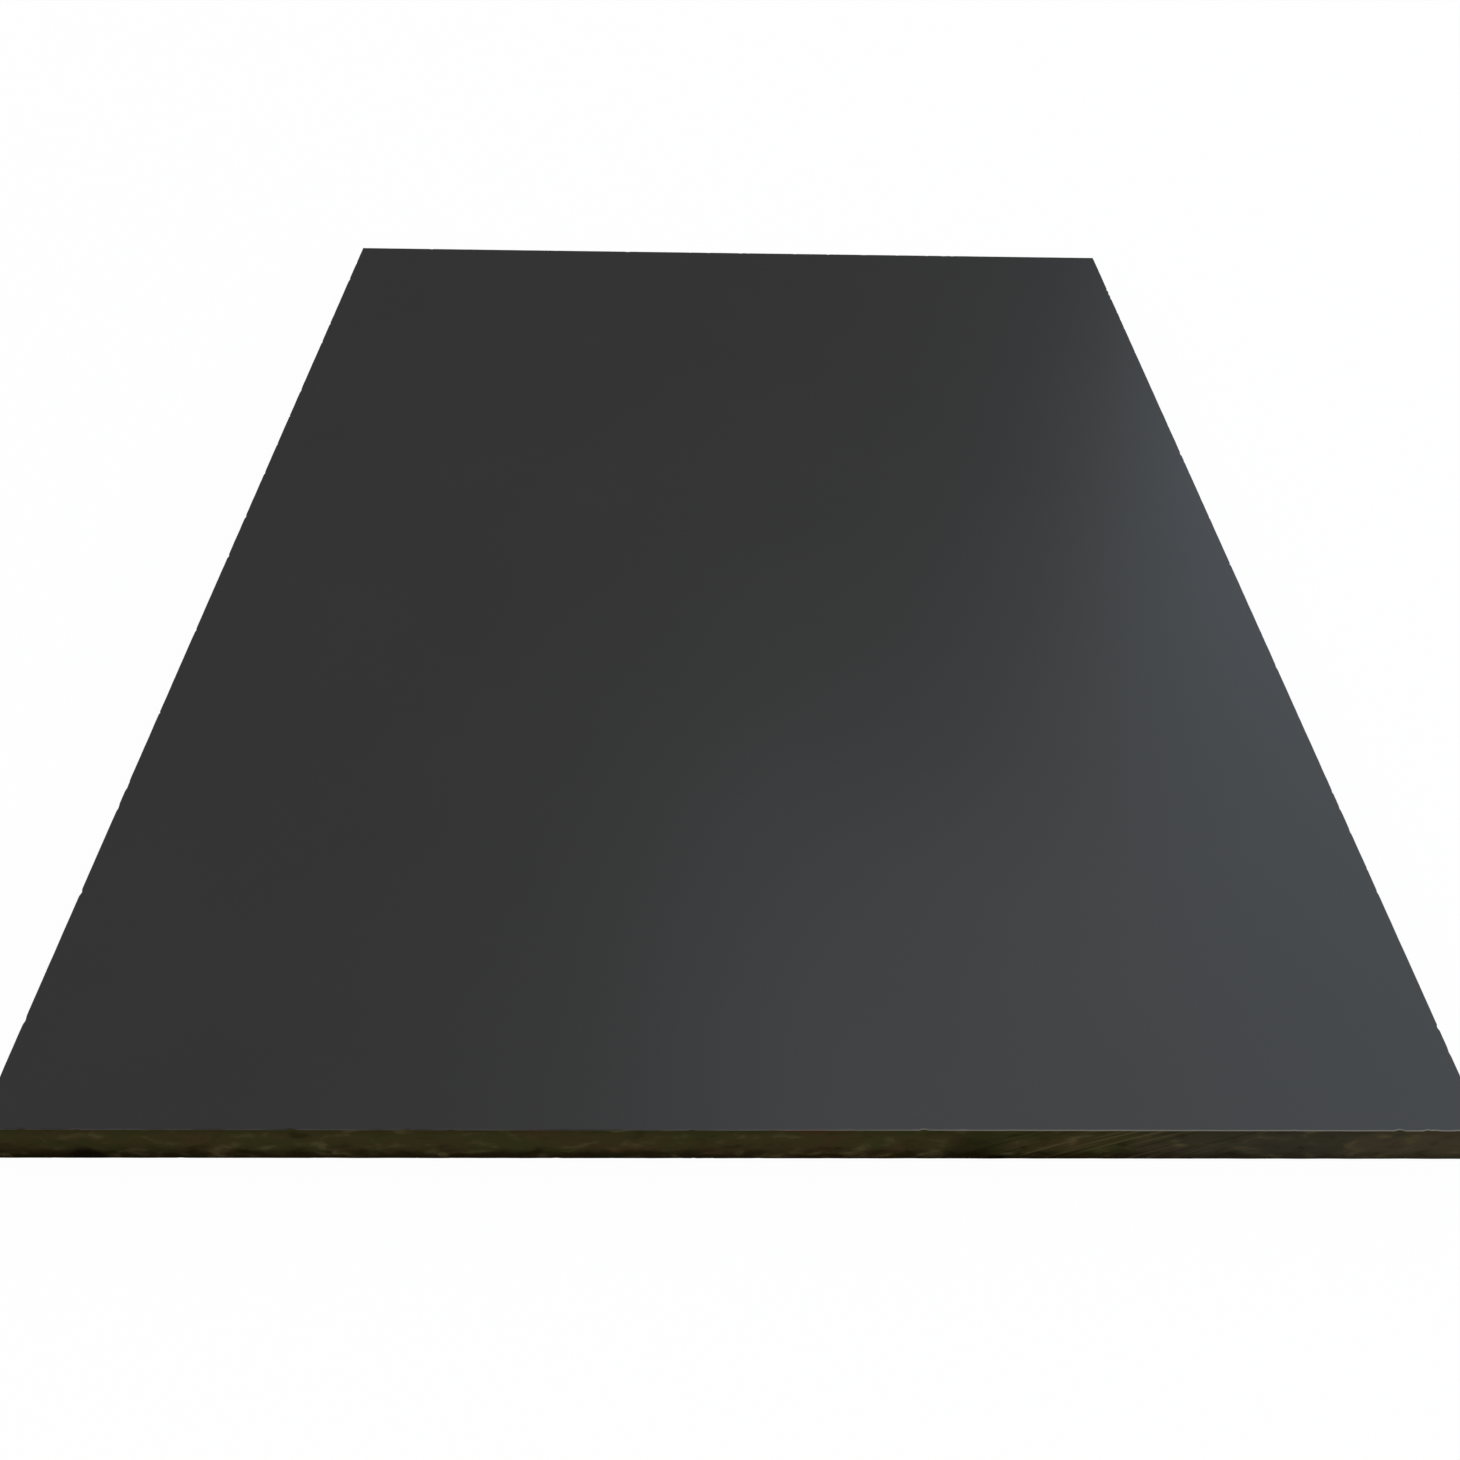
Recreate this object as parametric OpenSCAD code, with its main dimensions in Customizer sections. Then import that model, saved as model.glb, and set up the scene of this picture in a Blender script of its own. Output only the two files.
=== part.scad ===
// Compact high pressure laminate panel, cut to size and lying flat.
//
// Papers soaked in resin are pressed hot into one solid sheet, brown kraft
// paper all through with dark decor paper on both faces. Nothing in it can be
// taken apart again, so the panel is a single solid. It is sawn square, and
// all of its edges are then broken with a fine file.
//
// Millimetres, +Z up. The origin is the middle of the underside, +Y runs along
// the length and +X across the width.

/* [Panel] */
// Width of the cut panel, across X
panel_width = 280; // [100:10:1300]
// Length of the cut panel, along Y
panel_length = 380; // [100:10:3050]
// Thickness of the pressed sheet, along Z
panel_thickness = 10; // [2:0.5:25]

/* [Edges] */
// How far in from each edge the file's 45 degree bevel starts
arris = 0.15; // [0.05:0.05:0.9]

/* [Hidden] */

// A rectangle centred on the origin, its four corners bevelled by the file
module broken_rectangle(width, height) {
    x = width / 2;
    y = height / 2;
    polygon([
        [x - arris, -y], [x, -y + arris], [x, y - arris], [x - arris, y],
        [-x + arris, y], [-x, y - arris], [-x, -y + arris], [-x + arris, -y],
    ]);
}

// The pressed sheet: its plan, its front view and its side view, each run
// right through the other two, so that the bevels meet at every corner
module panel() {
    color("#3a3b3d")
        translate([0, 0, panel_thickness / 2])
            intersection() {
                linear_extrude(panel_thickness, center = true)
                    broken_rectangle(panel_width, panel_length);
                rotate([90, 0, 0])
                    linear_extrude(panel_length, center = true)
                        broken_rectangle(panel_width, panel_thickness);
                rotate([90, 0, 90])
                    linear_extrude(panel_width, center = true)
                        broken_rectangle(panel_length, panel_thickness);
            }
}

panel();
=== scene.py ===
import math
import random

import bmesh
import bpy
from mathutils import Matrix, Vector, noise


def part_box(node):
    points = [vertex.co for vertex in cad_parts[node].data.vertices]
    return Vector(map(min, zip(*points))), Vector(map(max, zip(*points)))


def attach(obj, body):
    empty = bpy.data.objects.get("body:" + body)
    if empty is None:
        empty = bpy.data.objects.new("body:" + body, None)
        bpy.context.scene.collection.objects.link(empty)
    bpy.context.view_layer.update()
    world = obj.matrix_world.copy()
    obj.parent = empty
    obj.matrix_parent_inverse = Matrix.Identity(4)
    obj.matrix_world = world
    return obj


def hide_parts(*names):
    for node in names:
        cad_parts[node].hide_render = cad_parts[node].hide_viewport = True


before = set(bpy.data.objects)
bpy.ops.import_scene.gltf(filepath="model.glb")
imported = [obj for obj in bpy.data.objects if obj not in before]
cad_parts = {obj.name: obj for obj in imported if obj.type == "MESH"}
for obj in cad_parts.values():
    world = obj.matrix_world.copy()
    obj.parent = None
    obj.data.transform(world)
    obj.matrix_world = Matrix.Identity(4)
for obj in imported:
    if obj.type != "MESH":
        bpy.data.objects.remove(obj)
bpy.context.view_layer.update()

# A cut panel of compact high pressure laminate lying flat: satin anthracite
# faces, and a brown core that shows on its four sawn edges.

MM = 0.001
LOW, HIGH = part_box("panel")
MIDDLE = (LOW + HIGH) / 2
HALF = (HIGH - LOW) / 2

# ---------------------------------------------------------------- the sawn edges
ARRIS = 0.15 * MM  # what the file takes off every edge, as in the solid
ARRIS_FACETS = 2  # across one filed arris, which comes out slightly round
COLUMN = 0.5 * MM  # spacing of the mesh along a sawn edge, enough for the smallest chip
ROWS = 22  # rows of mesh up a sawn edge
ROWS_CROWDED = 0.5  # how far the rows crowd towards the arrises, where the chips are

BLADE_RADIUS = 150 * MM  # the circular saw's blade
BLADE_DROP = 132 * MM  # from the middle of the panel down to the blade's centre
SAW_PITCH = 5 * MM  # usual distance from one heavy saw mark to the next
SAW_HOLD = 6 * SAW_PITCH  # how far up its arc a mark keeps its depth
SAW_DEPTH = 0.08 * MM  # the deepest of the marks
PUSH = 260 * MM  # from one place where the panel was pushed on to the next
PUSHED_AT = -118 * MM  # one of those places, as x + y

MAP_STRIPS = 8  # strips of sawn edge in the lower half of the piece's map
MAP_MARGIN = 0.002  # round each strip and face there
MAP_RIM = 0.08  # share of a strip's height that each arris takes up

# Chips along an arris: a seed for each edge, usual distance apart, least and greatest width,
# least and greatest depth
TOP_CHIPS = ((3, 4, 5, 6), 16 * MM, (0.8 * MM, 2.2 * MM), (0.06 * MM, 0.3 * MM))
BOTTOM_CHIPS = ((5, 15, 25, 35), 14 * MM, (0.6 * MM, 2.2 * MM), (0.03 * MM, 0.12 * MM))

# Marks on the near edge: x, height, half the width, half the height, and how strong. Two dark
# spots at its foot, with a broad, faint darkening round each, and red resin shows in a line
# under the arris.
FOOT_DARK_SPOTS = [
    (-122.3 * MM, 0, 5 * MM, 4.2 * MM, 1),
    (49.4 * MM, 0, 3.8 * MM, 2 * MM, 1),
    (44.9 * MM, 4 * MM, 8 * MM, 8 * MM, 0.4),
    (-130 * MM, 0, 38 * MM, 8 * MM, 0.36),
]
RED_RESIN = [(13.5 * MM, 9.8 * MM, 9 * MM, 0.6 * MM, 1)]
LIT_CORNER = (HIGH.x, LOW.y, MIDDLE.z)  # painted sheen and painted highlight all round it

# ---------------------------------------------------------------- the finishes
MELAMINE_IOR = 1.6
SATIN = 0.3  # roughness of melamine off a satin plate, or rubbed with a fine file
DULL = 0.75  # roughness of the core, as the blade leaves it

ANTHRACITE = "#353433"
ANTHRACITE_PALE = "#383736"
CORE_BROWN = "#332e19"
CORE_OLIVE = "#2e3118"
CORE_RED = "#3b2b1b"
CORE_PALE = "#534a31"
CORE_DARK = "#191409"
# The darkest spots at the foot of the near edge
CORE_DARKEST = "#0f0b05"
# Painted sheen on the sawn edges, greyer and then paler towards the lit corner
CORE_SHEEN_GREY = "#322f27"
CORE_SHEEN_PALE = "#3e3727"
RED_RESIN_BROWN = "#3d2410"
BROKEN_DECOR = "#403a3c"
# Painted highlight on the filed arris
ARRIS_HIGHLIGHT_GREY = "#6b675c"
BRUISED_DECOR = "#2e2a29"
FLOOR_WHITE = "#fafafa"

# ---------------------------------------------------------------- the studio
LENS = 34.82  # mm
CAMERA_PLACE = Vector((-5.41, -332.5, 241.9)) * MM
CAMERA_PITCH = 42.59  # degrees down from level
CAMERA_YAW = 1.56  # degrees to the right
CAMERA_ROLL = 1.45  # degrees
CAMERA_SHIFT = -0.0074  # of the frame's width
CAMERA_CLIP = 10 * MM  # nothing is nearer to it

# Each lamp's place, what it faces, its width and height, and its brightness in red, green and
# blue, where 1 is white paper at the plain level
WINDOW = ((1.6, 0.13, 2.14), (0, 0.13, 2.14), (8.3, 3.1), (0.504, 0.596, 0.703))
CEILING = ((0.3, 0.2, 1.5), (0.3, 0.2, 0), (0.74, 2.3), (0.398, 0.446, 0.496))
SOFTBOX = ((1.53, -2.65, 2.57), (0, 0, 0), (2.5, 2.5), (1.25, 1.2, 1.1))
AMBIENT = 0.63  # soft light from all round
SURROUND = 0.045  # the dark room that the satin faces mirror
FLOOR_GLOW = 0.95  # the part of the floor's white that doesn't take the shadow, at the panel
SHADOW_REACH = 1.5  # how far from the middle the floor takes none of it
FLOOR_SPREAD = 200  # how many times wider than the panel
FLOOR_UNDER_PANEL = 3 * MM  # how far in under the panel it reaches
FLOOR_GAP = 0.01 * MM  # keeps the floor and the underside out of one plane


def linear(colour):
    """An sRGB hex colour as the linear red, green, blue and alpha that sockets take."""
    levels = [int(colour[i:i + 2], 16) / 255 for i in (1, 3, 5)]
    return [v / 12.92 if v <= 0.04045 else ((v + 0.055) / 1.055) ** 2.4 for v in levels] + [1]


def add(tree, kind, inputs=None, **settings):
    """Adds a node with its settings. Inputs, by name or number, are linked or given values."""
    node = tree.nodes.new(kind)
    for name, value in settings.items():
        setattr(node, name, value)
    for name, value in (inputs or {}).items():
        if isinstance(value, bpy.types.NodeSocket):
            tree.links.new(value, node.inputs[name])
        else:
            node.inputs[name].default_value = value
    return node


# The colour sockets of a Mix node, which has a set of sockets for each kind of value
FACTOR, UNDER, OVER, MIXED = 0, 6, 7, 2


def empty_tree(owner):
    """The node tree of a new material or world, with nothing in it."""
    owner.use_nodes = True
    owner.node_tree.nodes.clear()
    return owner.node_tree


def link_object(name, data):
    """A new object in the scene, at the origin."""
    made = bpy.data.objects.new(name, data)
    bpy.context.scene.collection.objects.link(made)
    return made


def make_camera():
    """Held by hand over the near edge, so it leans a little to one side."""
    camera = link_object("camera", bpy.data.cameras.new("camera"))
    camera.data.lens = LENS
    camera.data.shift_x = CAMERA_SHIFT
    camera.data.clip_start = CAMERA_CLIP
    camera.matrix_world = (
        Matrix.Translation(CAMERA_PLACE)
        @ Matrix.Rotation(math.radians(-CAMERA_YAW), 4, "Z")
        @ Matrix.Rotation(math.radians(90 - CAMERA_PITCH), 4, "X")
        @ Matrix.Rotation(math.radians(CAMERA_ROLL), 4, "Z")
    )
    bpy.context.scene.camera = camera


# ---------------------------------------------------------------- the materials
def pressed_melamine():
    """Melamine decor paper, pressed hot against a satin steel plate: smooth, dark and even,
    with a soft sheen."""
    material = bpy.data.materials.new("pressed_melamine")
    tree = empty_tree(material)
    place = add(tree, "ShaderNodeTexCoord").outputs["Object"]
    # The paper's colour drifts by a hair over some 50 mm
    drift = add(
        tree, "ShaderNodeTexNoise",
        {"Vector": place, "Scale": 1 / (50 * MM), "Detail": 3},
    )
    colour = add(
        tree, "ShaderNodeMix",
        {FACTOR: drift.outputs["Fac"], UNDER: linear(ANTHRACITE), OVER: linear(ANTHRACITE_PALE)},
        data_type="RGBA",
    )
    # The press plate's own satin grain is about 0.05 mm; it is drawn at 0.6 mm, to show
    grain = add(
        tree, "ShaderNodeTexNoise",
        {"Vector": place, "Scale": 1 / (0.6 * MM), "Detail": 1},
    )
    pearl = add(
        tree, "ShaderNodeBump",
        {"Height": grain.outputs["Fac"], "Strength": 0.3, "Distance": 0.002 * MM},
    )
    shader = add(
        tree, "ShaderNodeBsdfPrincipled",
        {
            "Base Color": colour.outputs[MIXED], "Roughness": SATIN, "IOR": MELAMINE_IOR,
            "Normal": pearl.outputs["Normal"],
        },
    )
    add(tree, "ShaderNodeOutputMaterial", {"Surface": shader.outputs["BSDF"]})
    return material


def layered(tree, colour, layers):
    """A colour with others laid over it in turn. Each is given with the value that it depends
    on, where that value starts it and where it is fullest, and how full it gets."""
    colour = linear(colour)
    for over, value, start, fullest, share in layers:
        share = add(
            tree, "ShaderNodeMapRange",
            {"Value": value, "From Min": start, "From Max": fullest, "To Max": share},
            interpolation_type="SMOOTHSTEP",
        ).outputs["Result"]
        colour = add(
            tree, "ShaderNodeMix", {FACTOR: share, UNDER: colour, OVER: linear(over)},
            data_type="RGBA",
        ).outputs[MIXED]
    return colour


def sawn_phenolic_core():
    """Kraft paper soaked in phenolic resin, pressed solid and cut with a circular saw: a dull,
    dark brown edge, blotched with olive and red, with slanting arcs from the blade's teeth."""
    material = bpy.data.materials.new("sawn_phenolic_core")
    tree = empty_tree(material)
    place = add(tree, "ShaderNodeTexCoord").outputs["Object"]
    x, y, z = add(tree, "ShaderNodeSeparateXYZ", {"Vector": place}).outputs
    from_lit_corner = add(
        tree, "ShaderNodeVectorMath", {0: place, 1: LIT_CORNER}, operation="DISTANCE",
    ).outputs["Value"]

    # How far along the edge, on any of the four sides, and the same along the blade's arcs
    along = add(tree, "ShaderNodeMath", {0: x, 1: y}, operation="ADD").outputs[0]
    rise = add(
        tree, "ShaderNodeMath", {0: z, 1: BLADE_DROP - MIDDLE.z}, operation="ADD",
    ).outputs[0]
    squared = add(tree, "ShaderNodeMath", {0: rise, 1: rise}, operation="MULTIPLY").outputs[0]
    reach = add(
        tree, "ShaderNodeMath", {0: BLADE_RADIUS ** 2, 1: squared}, operation="SUBTRACT",
    ).outputs[0]
    arc = add(tree, "ShaderNodeMath", {0: reach}, operation="SQRT").outputs[0]
    swept = add(tree, "ShaderNodeMath", {0: along, 1: arc}, operation="ADD").outputs[0]
    # Patches are longer than they are high, and scratches are drawn out up the arc
    flat_place = add(tree, "ShaderNodeCombineXYZ", {"X": along, "Y": z}).outputs[0]
    squat = add(
        tree, "ShaderNodeMapping", {"Vector": flat_place, "Scale": (1, 1.6, 1)},
    ).outputs[0]
    swept_place = add(tree, "ShaderNodeCombineXYZ", {"X": swept, "Y": z}).outputs[0]
    up_the_arc = add(
        tree, "ShaderNodeMapping", {"Vector": swept_place, "Scale": (1, 0.12, 1)},
    ).outputs[0]

    # Where the blade ran through paper that had taken up more or less resin, 12 mm long
    hue = add(
        tree, "ShaderNodeTexNoise",
        {"Vector": squat, "Scale": 1 / (12 * MM), "Detail": 3, "Distortion": 0.5},
    ).outputs["Fac"]
    # Scuffs and torn fibres, up to 5 mm across
    blotch = add(
        tree, "ShaderNodeTexNoise",
        {"Vector": squat, "Scale": 1 / (5 * MM), "Detail": 4, "Distortion": 0.3},
    ).outputs["Fac"]
    # Scratches by single teeth, 0.8 mm across and long up the arc
    scratch = add(
        tree, "ShaderNodeTexNoise",
        {"Vector": up_the_arc, "Scale": 1 / (1.6 * MM), "Detail": 1},
    ).outputs["Fac"]
    # They bite most where the panel was pushed on
    push = add(
        tree, "ShaderNodeMath",
        {0: along, 1: 2 * math.pi / PUSH, 2: -2 * math.pi * PUSHED_AT / PUSH},
        operation="MULTIPLY_ADD",
    ).outputs[0]
    push = add(tree, "ShaderNodeMath", {0: push}, operation="COSINE").outputs[0]
    bite = add(
        tree, "ShaderNodeMapRange",
        {"Value": push, "From Min": 0.7, "From Max": 0.95, "To Min": 0.35},
    ).outputs["Result"]
    scratch = add(
        tree, "ShaderNodeMix", {0: bite, 2: 0.5, 3: scratch}, data_type="FLOAT",
    ).outputs[0]

    # Heights and distances with an uneven border: near the foot, under the upper arris, and
    # round the lit corner, where the sheen is painted
    foot = add(
        tree, "ShaderNodeMath", {0: blotch, 1: 6 * MM, 2: z}, operation="MULTIPLY_ADD",
    ).outputs[0]
    head = add(
        tree, "ShaderNodeMath", {0: hue, 1: -1 * MM, 2: z}, operation="MULTIPLY_ADD",
    ).outputs[0]
    # How far the painted sheen reaches round the lit corner
    painted_sheen = add(
        tree, "ShaderNodeMath", {0: hue, 1: -40 * MM, 2: from_lit_corner}, operation="MULTIPLY_ADD",
    ).outputs[0]
    # Greener towards the top and redder towards the foot
    tint = add(
        tree, "ShaderNodeMath", {0: z, 1: -0.015 / MM, 2: hue}, operation="MULTIPLY_ADD",
    ).outputs[0]
    dark_spot = add(tree, "ShaderNodeAttribute", attribute_name="dark_spot").outputs["Fac"]
    resin = add(tree, "ShaderNodeAttribute", attribute_name="red_resin").outputs["Fac"]

    layers = [
        # The paper itself
        (CORE_OLIVE, tint, 0.41, 0.29, 0.6),
        (CORE_RED, tint, 0.44, 0.58, 0.6),
        # Darker towards the foot
        (CORE_DARK, foot, 7.6 * MM, 3.4 * MM, 0.8),
        # Painted sheen: a grey veil, and paler still nearest the corner
        (CORE_SHEEN_GREY, painted_sheen, 58 * MM, 20 * MM, 0.75),
        (CORE_SHEEN_PALE, painted_sheen, 6 * MM, -3 * MM, 0.7),
        # Darker close to the two arrises, over the painted sheen too
        (CORE_DARK, head, HIGH.z - 2.8 * MM, HIGH.z - 1.2 * MM, 0.2),
        (CORE_DARK, foot, 6.2 * MM, 3.4 * MM, 0.4),
        # What the blade left
        (CORE_PALE, blotch, 0.52, 0.80, 0.6),
        (CORE_DARK, blotch, 0.46, 0.20, 0.6),
        (CORE_PALE, scratch, 0.58, 0.70, 0.45),
        (CORE_DARK, scratch, 0.44, 0.32, 0.4),
        (RED_RESIN_BROWN, resin, 0, 0.8, 0.85),
        (CORE_DARKEST, dark_spot, 0, 0.8, 0.95),
    ]
    colour = layered(tree, CORE_BROWN, layers)

    # The cut is rough by about a tenth of a millimetre
    relief = add(
        tree, "ShaderNodeMath", {0: blotch, 1: 0.8, 2: scratch}, operation="MULTIPLY_ADD",
    ).outputs[0]
    cut = add(
        tree, "ShaderNodeBump", {"Height": relief, "Strength": 0.6, "Distance": 0.15 * MM},
    ).outputs["Normal"]
    shader = add(
        tree, "ShaderNodeBsdfPrincipled",
        {"Base Color": colour, "Roughness": DULL, "Specular IOR Level": 0, "Normal": cut},
    )
    add(tree, "ShaderNodeOutputMaterial", {"Surface": shader.outputs["BSDF"]})
    return material


def filed_melamine():
    """The brittle decor layer where the file broke its edge: a hair-thin line, bruised dark in
    places, with a painted highlight that turns it pale grey towards the near right corner."""
    material = bpy.data.materials.new("filed_melamine")
    tree = empty_tree(material)
    place = add(tree, "ShaderNodeTexCoord").outputs["Object"]
    from_lit_corner = add(
        tree, "ShaderNodeVectorMath", {0: place, 1: LIT_CORNER}, operation="DISTANCE",
    ).outputs["Value"]
    bruise = add(
        tree, "ShaderNodeTexNoise", {"Vector": place, "Scale": 1 / (6 * MM), "Detail": 4},
    ).outputs["Fac"]
    layers = [
        (BROKEN_DECOR, bruise, 0.4, 0.6, 1),
        # Painted highlight: pale grey near the lit corner
        (ARRIS_HIGHLIGHT_GREY, from_lit_corner, 168 * MM, 74 * MM, 1),
    ]
    colour = layered(tree, BRUISED_DECOR, layers)
    shader = add(
        tree, "ShaderNodeBsdfPrincipled",
        {"Base Color": colour, "Roughness": SATIN, "IOR": MELAMINE_IOR},
    )
    add(tree, "ShaderNodeOutputMaterial", {"Surface": shader.outputs["BSDF"]})
    return material


# ---------------------------------------------------------------- the panel
SIDES = [(0, -1), (0, 1), (1, -1), (1, 1)]  # axis that each sawn edge faces, and which way
NEAR = (1, -1)
FACE, SAWN, FILED = 0, 1, 2  # the panel's material slots
FLAT, STEEP = 0.99, 0.01  # how far up the normals of a face and of a sawn edge point
PARALLEL = 0.999  # share of its length that a line along an axis covers there
HAIR = 0.01 * ARRIS  # slack in comparing places


def runs_along(edge, axis):
    """True if a mesh edge is parallel to that axis."""
    span = edge.verts[1].co - edge.verts[0].co
    return abs(span[axis]) > PARALLEL * span.length


def on_side(vert, axis, way):
    """True if a vertex is on the sawn edge that faces way along axis, or on its arrises."""
    return way * (vert.co[axis] - MIDDLE[axis]) > HALF[axis] - ARRIS - HAIR


def cut_grid(bm):
    """Cuts the four sawn edges into a fine grid, and leaves both faces whole."""
    for axis, way in SIDES:
        level = [
            edge for edge in bm.edges
            if runs_along(edge, 1 - axis) and all(on_side(v, axis, way) for v in edge.verts)
        ]
        columns = round(2 * HALF[1 - axis] / COLUMN)
        bmesh.ops.subdivide_edges(bm, edges=level, cuts=columns - 1)
    upright = [edge for edge in bm.edges if runs_along(edge, 2)]
    bmesh.ops.subdivide_edges(bm, edges=upright, cuts=ROWS - 1)
    for vert in bm.verts:
        share = (vert.co.z - MIDDLE.z) / (HALF.z - ARRIS)
        if abs(share) < 1:
            crowded = share + ROWS_CROWDED * (math.sin(share * math.pi / 2) - share)
            vert.co.z = MIDDLE.z + crowded * (HALF.z - ARRIS)


def saw_mark(along, height):
    """Depth of the blade's marks, from 0 to 1, at a place on a sawn edge."""
    swept = along + math.sqrt(BLADE_RADIUS ** 2 - (height + BLADE_DROP) ** 2)
    return 0.5 + 0.5 * noise.noise((swept / SAW_PITCH, height / SAW_HOLD, 0))


def chips_along(length, seed, pitch, widths, depths):
    """Places, widths and depths of the chips along an arris of that length."""
    draw = random.Random(seed)
    return [
        (draw.uniform(-length / 2, length / 2), draw.uniform(*widths), draw.uniform(*depths))
        for _ in range(round(length / pitch))
    ]


def chip_depth(chips, along, drop):
    """How far chips have eaten into an edge, at a distance along the arris and from it."""
    deepest = 0
    for place, width, depth in chips:
        shape = 1 - ((along - place) / (width / 2)) ** 2 - (drop / (2 * depth)) ** 2
        deepest = max(deepest, depth * shape)
    return deepest


def stain(places, along, height):
    """How strong the stains of a list are at a place on the near edge, from 0 to 1."""
    strongest = 0
    for place, middle, wide, tall, strength in places:
        shape = 1 - ((along - place) / wide) ** 2 - ((height - middle) / tall) ** 2
        strongest = max(strongest, strength * shape)
    return strongest


def saw_edges(bm):
    """Pushes the sawn edges inwards by the blade's marks and the chips, and marks the stains."""
    dark_spot = bm.verts.layers.float.new("dark_spot")
    resin = bm.verts.layers.float.new("red_resin")
    for number, (axis, way) in enumerate(SIDES):
        length = 2 * HALF[1 - axis]
        top = chips_along(length, TOP_CHIPS[0][number], *TOP_CHIPS[1:])
        bottom = chips_along(length, BOTTOM_CHIPS[0][number], *BOTTOM_CHIPS[1:])
        for vert in [v for v in bm.verts if on_side(v, axis, way)]:
            along = vert.co[1 - axis]
            depth = SAW_DEPTH * saw_mark(vert.co.x + vert.co.y, vert.co.z - MIDDLE.z)
            depth += chip_depth(top, along, HIGH.z - vert.co.z)
            depth += chip_depth(bottom, along, vert.co.z - LOW.z)
            if (axis, way) == NEAR:
                vert[dark_spot] = stain(FOOT_DARK_SPOTS, along, vert.co.z - LOW.z)
                vert[resin] = stain(RED_RESIN, along, vert.co.z - LOW.z)
            vert.co[axis] -= way * depth


def lay_flat(bm):
    """The map that the finished piece is baked on. The two faces are its upper half, and the
    edges its lower half, in eight half lengths drawn larger than the faces. The arrises are
    drawn larger again, because they would be too fine for the map."""
    layer = bm.loops.layers.uv.new("OFBake")
    for face in bm.faces:
        middle = face.calc_center_median() - MIDDLE
        side = 0 if abs(face.normal.x) > abs(face.normal.y) else 1
        run = 1 - side
        strip = 4 * side + 2 * (middle[side] > 0) + (middle[run] > 0)
        for loop in face.loops:
            place = loop.vert.co - MIDDLE
            if face.material_index == FACE:
                across = (place.x / HALF.x + 1) / 2
                up = (place.y / HALF.y + 1) / 2
                corner, cell = ((middle.z > 0) / 2, 1 / 2), (1 / 2, 1 / 2)
            else:
                across = place[run] / HALF[run] + (middle[run] <= 0)
                foot, head = HALF.z + place.z, HALF.z - place.z
                rims = (min(foot, ARRIS) - min(head, ARRIS)) / ARRIS + 1
                up = (1 - 2 * MAP_RIM) * foot / (2 * HALF.z) + MAP_RIM * rims
                corner, cell = (0, strip / (2 * MAP_STRIPS)), (1, 1 / (2 * MAP_STRIPS))
            loop[layer].uv = [
                corner[i] + MAP_MARGIN + share * (cell[i] - 2 * MAP_MARGIN)
                for i, share in enumerate((across, up))
            ]


def make_panel():
    """One closed piece: the sheet cut to size, its edges broken with a file, then the blade's
    marks and the chips in its sawn edges."""
    bm = bmesh.new()
    box = Matrix.Translation(MIDDLE) @ Matrix.Diagonal((*(2 * HALF), 1))
    bmesh.ops.create_cube(bm, size=1, matrix=box)
    bmesh.ops.bevel(
        bm, geom=bm.edges[:], affect="EDGES", offset=ARRIS,
        segments=ARRIS_FACETS, profile=0.5, material=-1,
    )
    bm.normal_update()
    for face in bm.faces:
        lean = abs(face.normal.z)
        face.material_index = FACE if lean > FLAT else SAWN if lean < STEEP else FILED
        face.smooth = True
    cut_grid(bm)
    saw_edges(bm)
    for edge in bm.edges:
        edge.smooth = len({face.material_index for face in edge.link_faces}) == 1
    lay_flat(bm)
    mesh = bpy.data.meshes.new("laminate_panel")
    bm.to_mesh(mesh)
    bm.free()
    for material in (pressed_melamine(), sawn_phenolic_core(), filed_melamine()):
        mesh.materials.append(material)
    panel = link_object("laminate_panel", mesh)
    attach(panel, "root")
    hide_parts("panel")


# ---------------------------------------------------------------- the studio
def white_floor():
    """Matt white paint. What sees it straight or in a mirror sees white, with some shadow near
    the panel and none further off."""
    material = bpy.data.materials.new("white_floor")
    tree = empty_tree(material)
    place = add(tree, "ShaderNodeTexCoord").outputs["Object"]
    away = add(
        tree, "ShaderNodeVectorMath", {0: place}, operation="LENGTH",
    ).outputs["Value"]
    glow_share = add(
        tree, "ShaderNodeMapRange",
        {"Value": away, "From Max": SHADOW_REACH, "To Min": FLOOR_GLOW},
    ).outputs["Result"]
    rays = add(tree, "ShaderNodeLightPath").outputs
    seen = add(
        tree, "ShaderNodeMath",
        {0: rays["Is Camera Ray"], 1: rays["Is Glossy Ray"]}, operation="MAXIMUM",
    ).outputs[0]
    seen = add(
        tree, "ShaderNodeMath", {0: seen, 1: rays["Is Transmission Ray"]}, operation="MAXIMUM",
    ).outputs[0]
    share = add(tree, "ShaderNodeMath", {0: seen, 1: glow_share}, operation="MULTIPLY").outputs[0]
    paint = add(tree, "ShaderNodeBsdfDiffuse", {"Color": linear(FLOOR_WHITE)}).outputs[0]
    glow = add(tree, "ShaderNodeEmission", {"Strength": 1}).outputs[0]
    mixed = add(tree, "ShaderNodeMixShader", {0: share, 1: paint, 2: glow}).outputs[0]
    add(tree, "ShaderNodeOutputMaterial", {"Surface": mixed})
    return material


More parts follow.
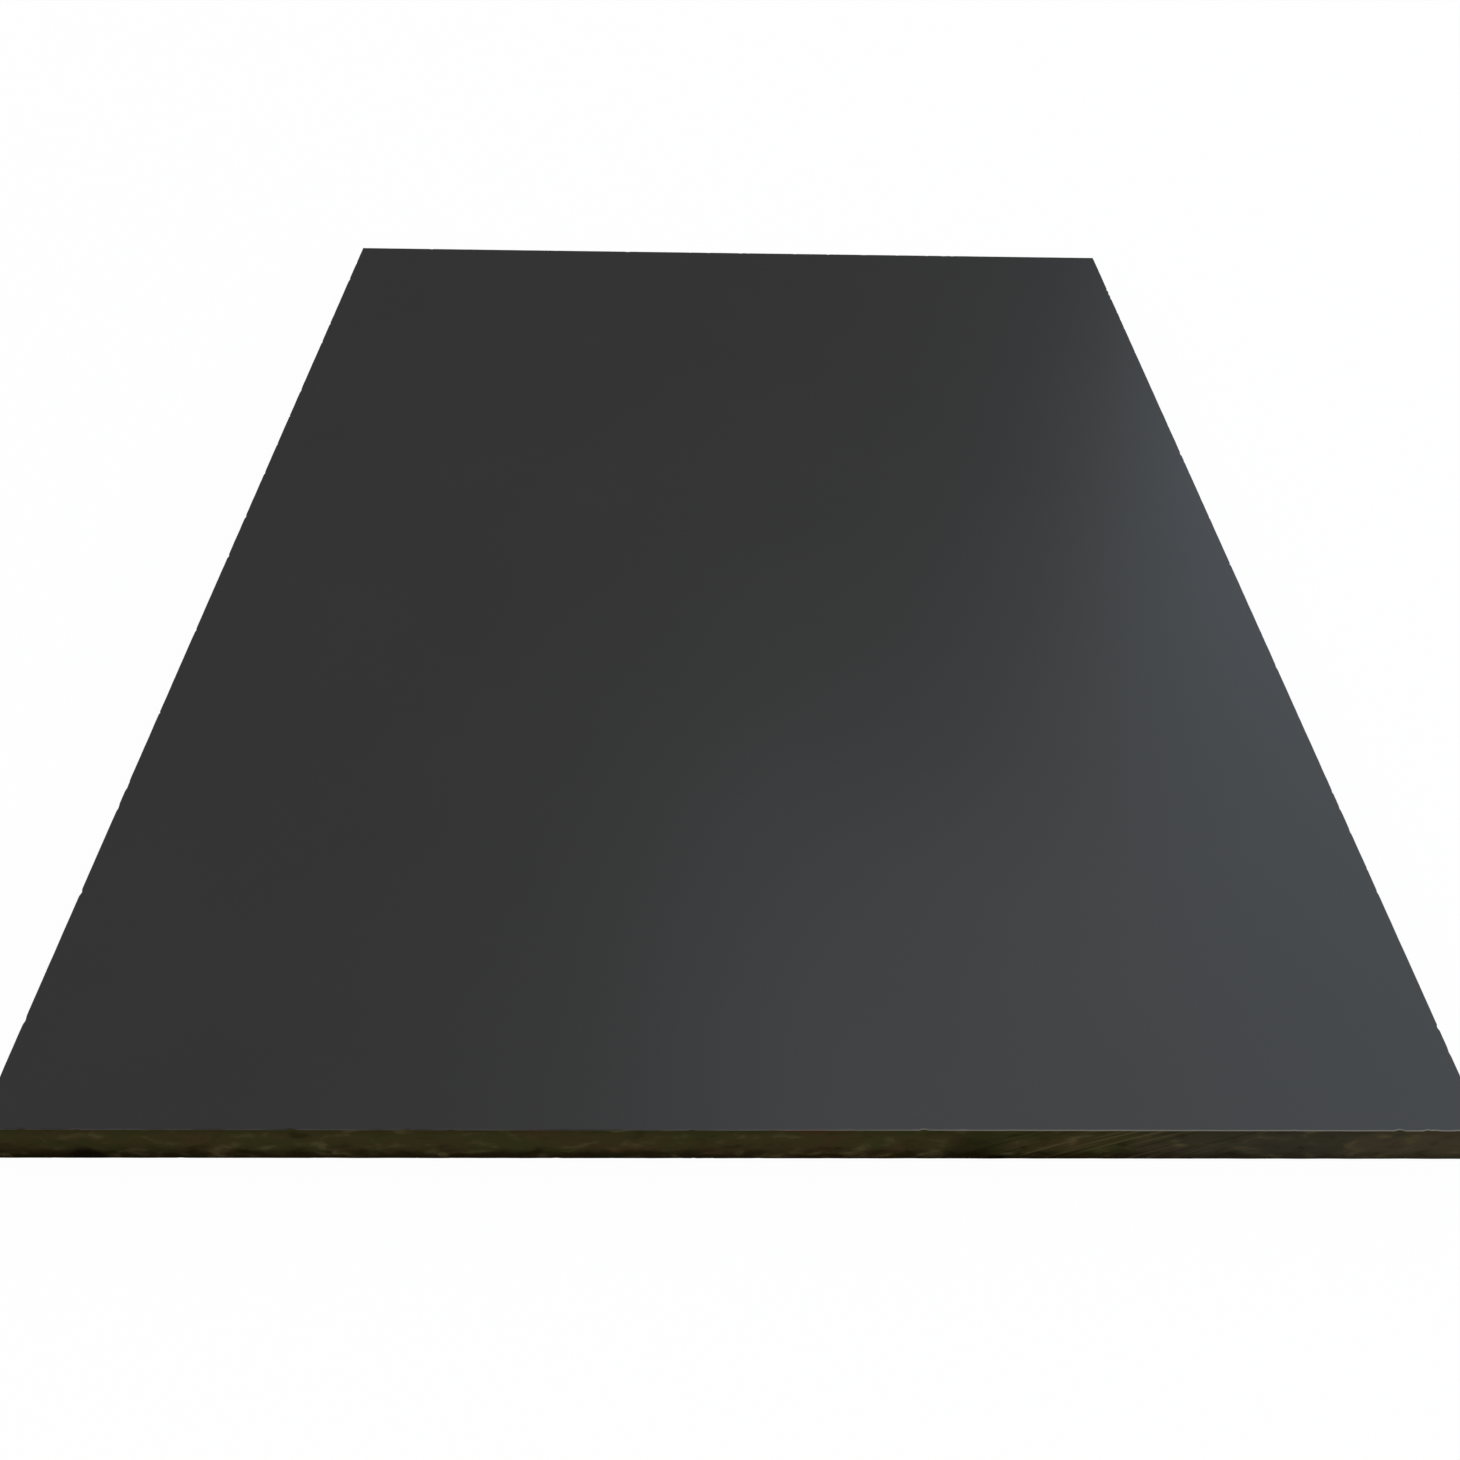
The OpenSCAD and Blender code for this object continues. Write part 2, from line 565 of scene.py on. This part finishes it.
def make_floor():
    """Flat, and open under the panel, so that the underside shows from below."""
    bm = bmesh.new()
    opening = Matrix.Diagonal((HALF.x - FLOOR_UNDER_PANEL, HALF.y - FLOOR_UNDER_PANEL, 1, 1))
    bmesh.ops.create_grid(
        bm, x_segments=1, y_segments=1, size=1,
        matrix=Matrix.Translation((0, 0, LOW.z - FLOOR_GAP)) @ opening,
    )
    hole = bm.faces[:]
    extruded = bmesh.ops.extrude_edge_only(bm, edges=bm.edges[:])["geom"]
    rim = [part for part in extruded if isinstance(part, bmesh.types.BMVert)]
    bmesh.ops.scale(bm, vec=(FLOOR_SPREAD, FLOOR_SPREAD, 1), verts=rim)
    bmesh.ops.delete(bm, geom=hole, context="FACES_ONLY")
    mesh = bpy.data.meshes.new("floor")
    bm.to_mesh(mesh)
    bm.free()
    mesh.materials.append(white_floor())
    link_object("floor", mesh)


def make_lamp(name, place, aim, size, brightness):
    """A soft rectangular lamp that the camera doesn't see."""
    width, height = size
    light = bpy.data.lights.new(name, "AREA")
    light.shape = "RECTANGLE"
    light.size = width
    light.size_y = height
    light.color = brightness
    light.energy = math.pi * width * height
    lamp = link_object(name, light)
    facing = (Vector(aim) - Vector(place)).to_track_quat("-Z", "Y")
    lamp.matrix_world = Matrix.Translation(place) @ facing.to_matrix().to_4x4()
    lamp.visible_camera = False
    return lamp


def make_light():
    """The satin faces mirror the window and the ceiling, but not the softbox in front, which
    would turn them pale from behind."""
    make_lamp("window", *WINDOW)
    make_lamp("ceiling", *CEILING)
    softbox = make_lamp("softbox", *SOFTBOX)
    softbox.visible_glossy = False


def make_surround():
    """White to look at, soft on all sides, but dark in a mirror. The satin faces are so dark
    that they would turn pale if they mirrored a white room."""
    world = bpy.data.worlds.new("surround")
    bpy.context.scene.world = world
    tree = empty_tree(world)
    rays = add(tree, "ShaderNodeLightPath").outputs
    strength = add(
        tree, "ShaderNodeMapRange",
        {"Value": rays["Is Glossy Ray"], "To Min": AMBIENT, "To Max": SURROUND},
    ).outputs["Result"]
    strength = add(
        tree, "ShaderNodeMapRange",
        {"Value": rays["Is Camera Ray"], "To Min": strength, "To Max": 1},
    ).outputs["Result"]
    shader = add(
        tree, "ShaderNodeBackground", {"Color": (1, 1, 1, 1), "Strength": strength},
    ).outputs[0]
    add(tree, "ShaderNodeOutputWorld", {"Surface": shader})


make_camera()
make_panel()
make_floor()
make_light()
make_surround()
bpy.context.scene.view_settings.view_transform = "Standard"
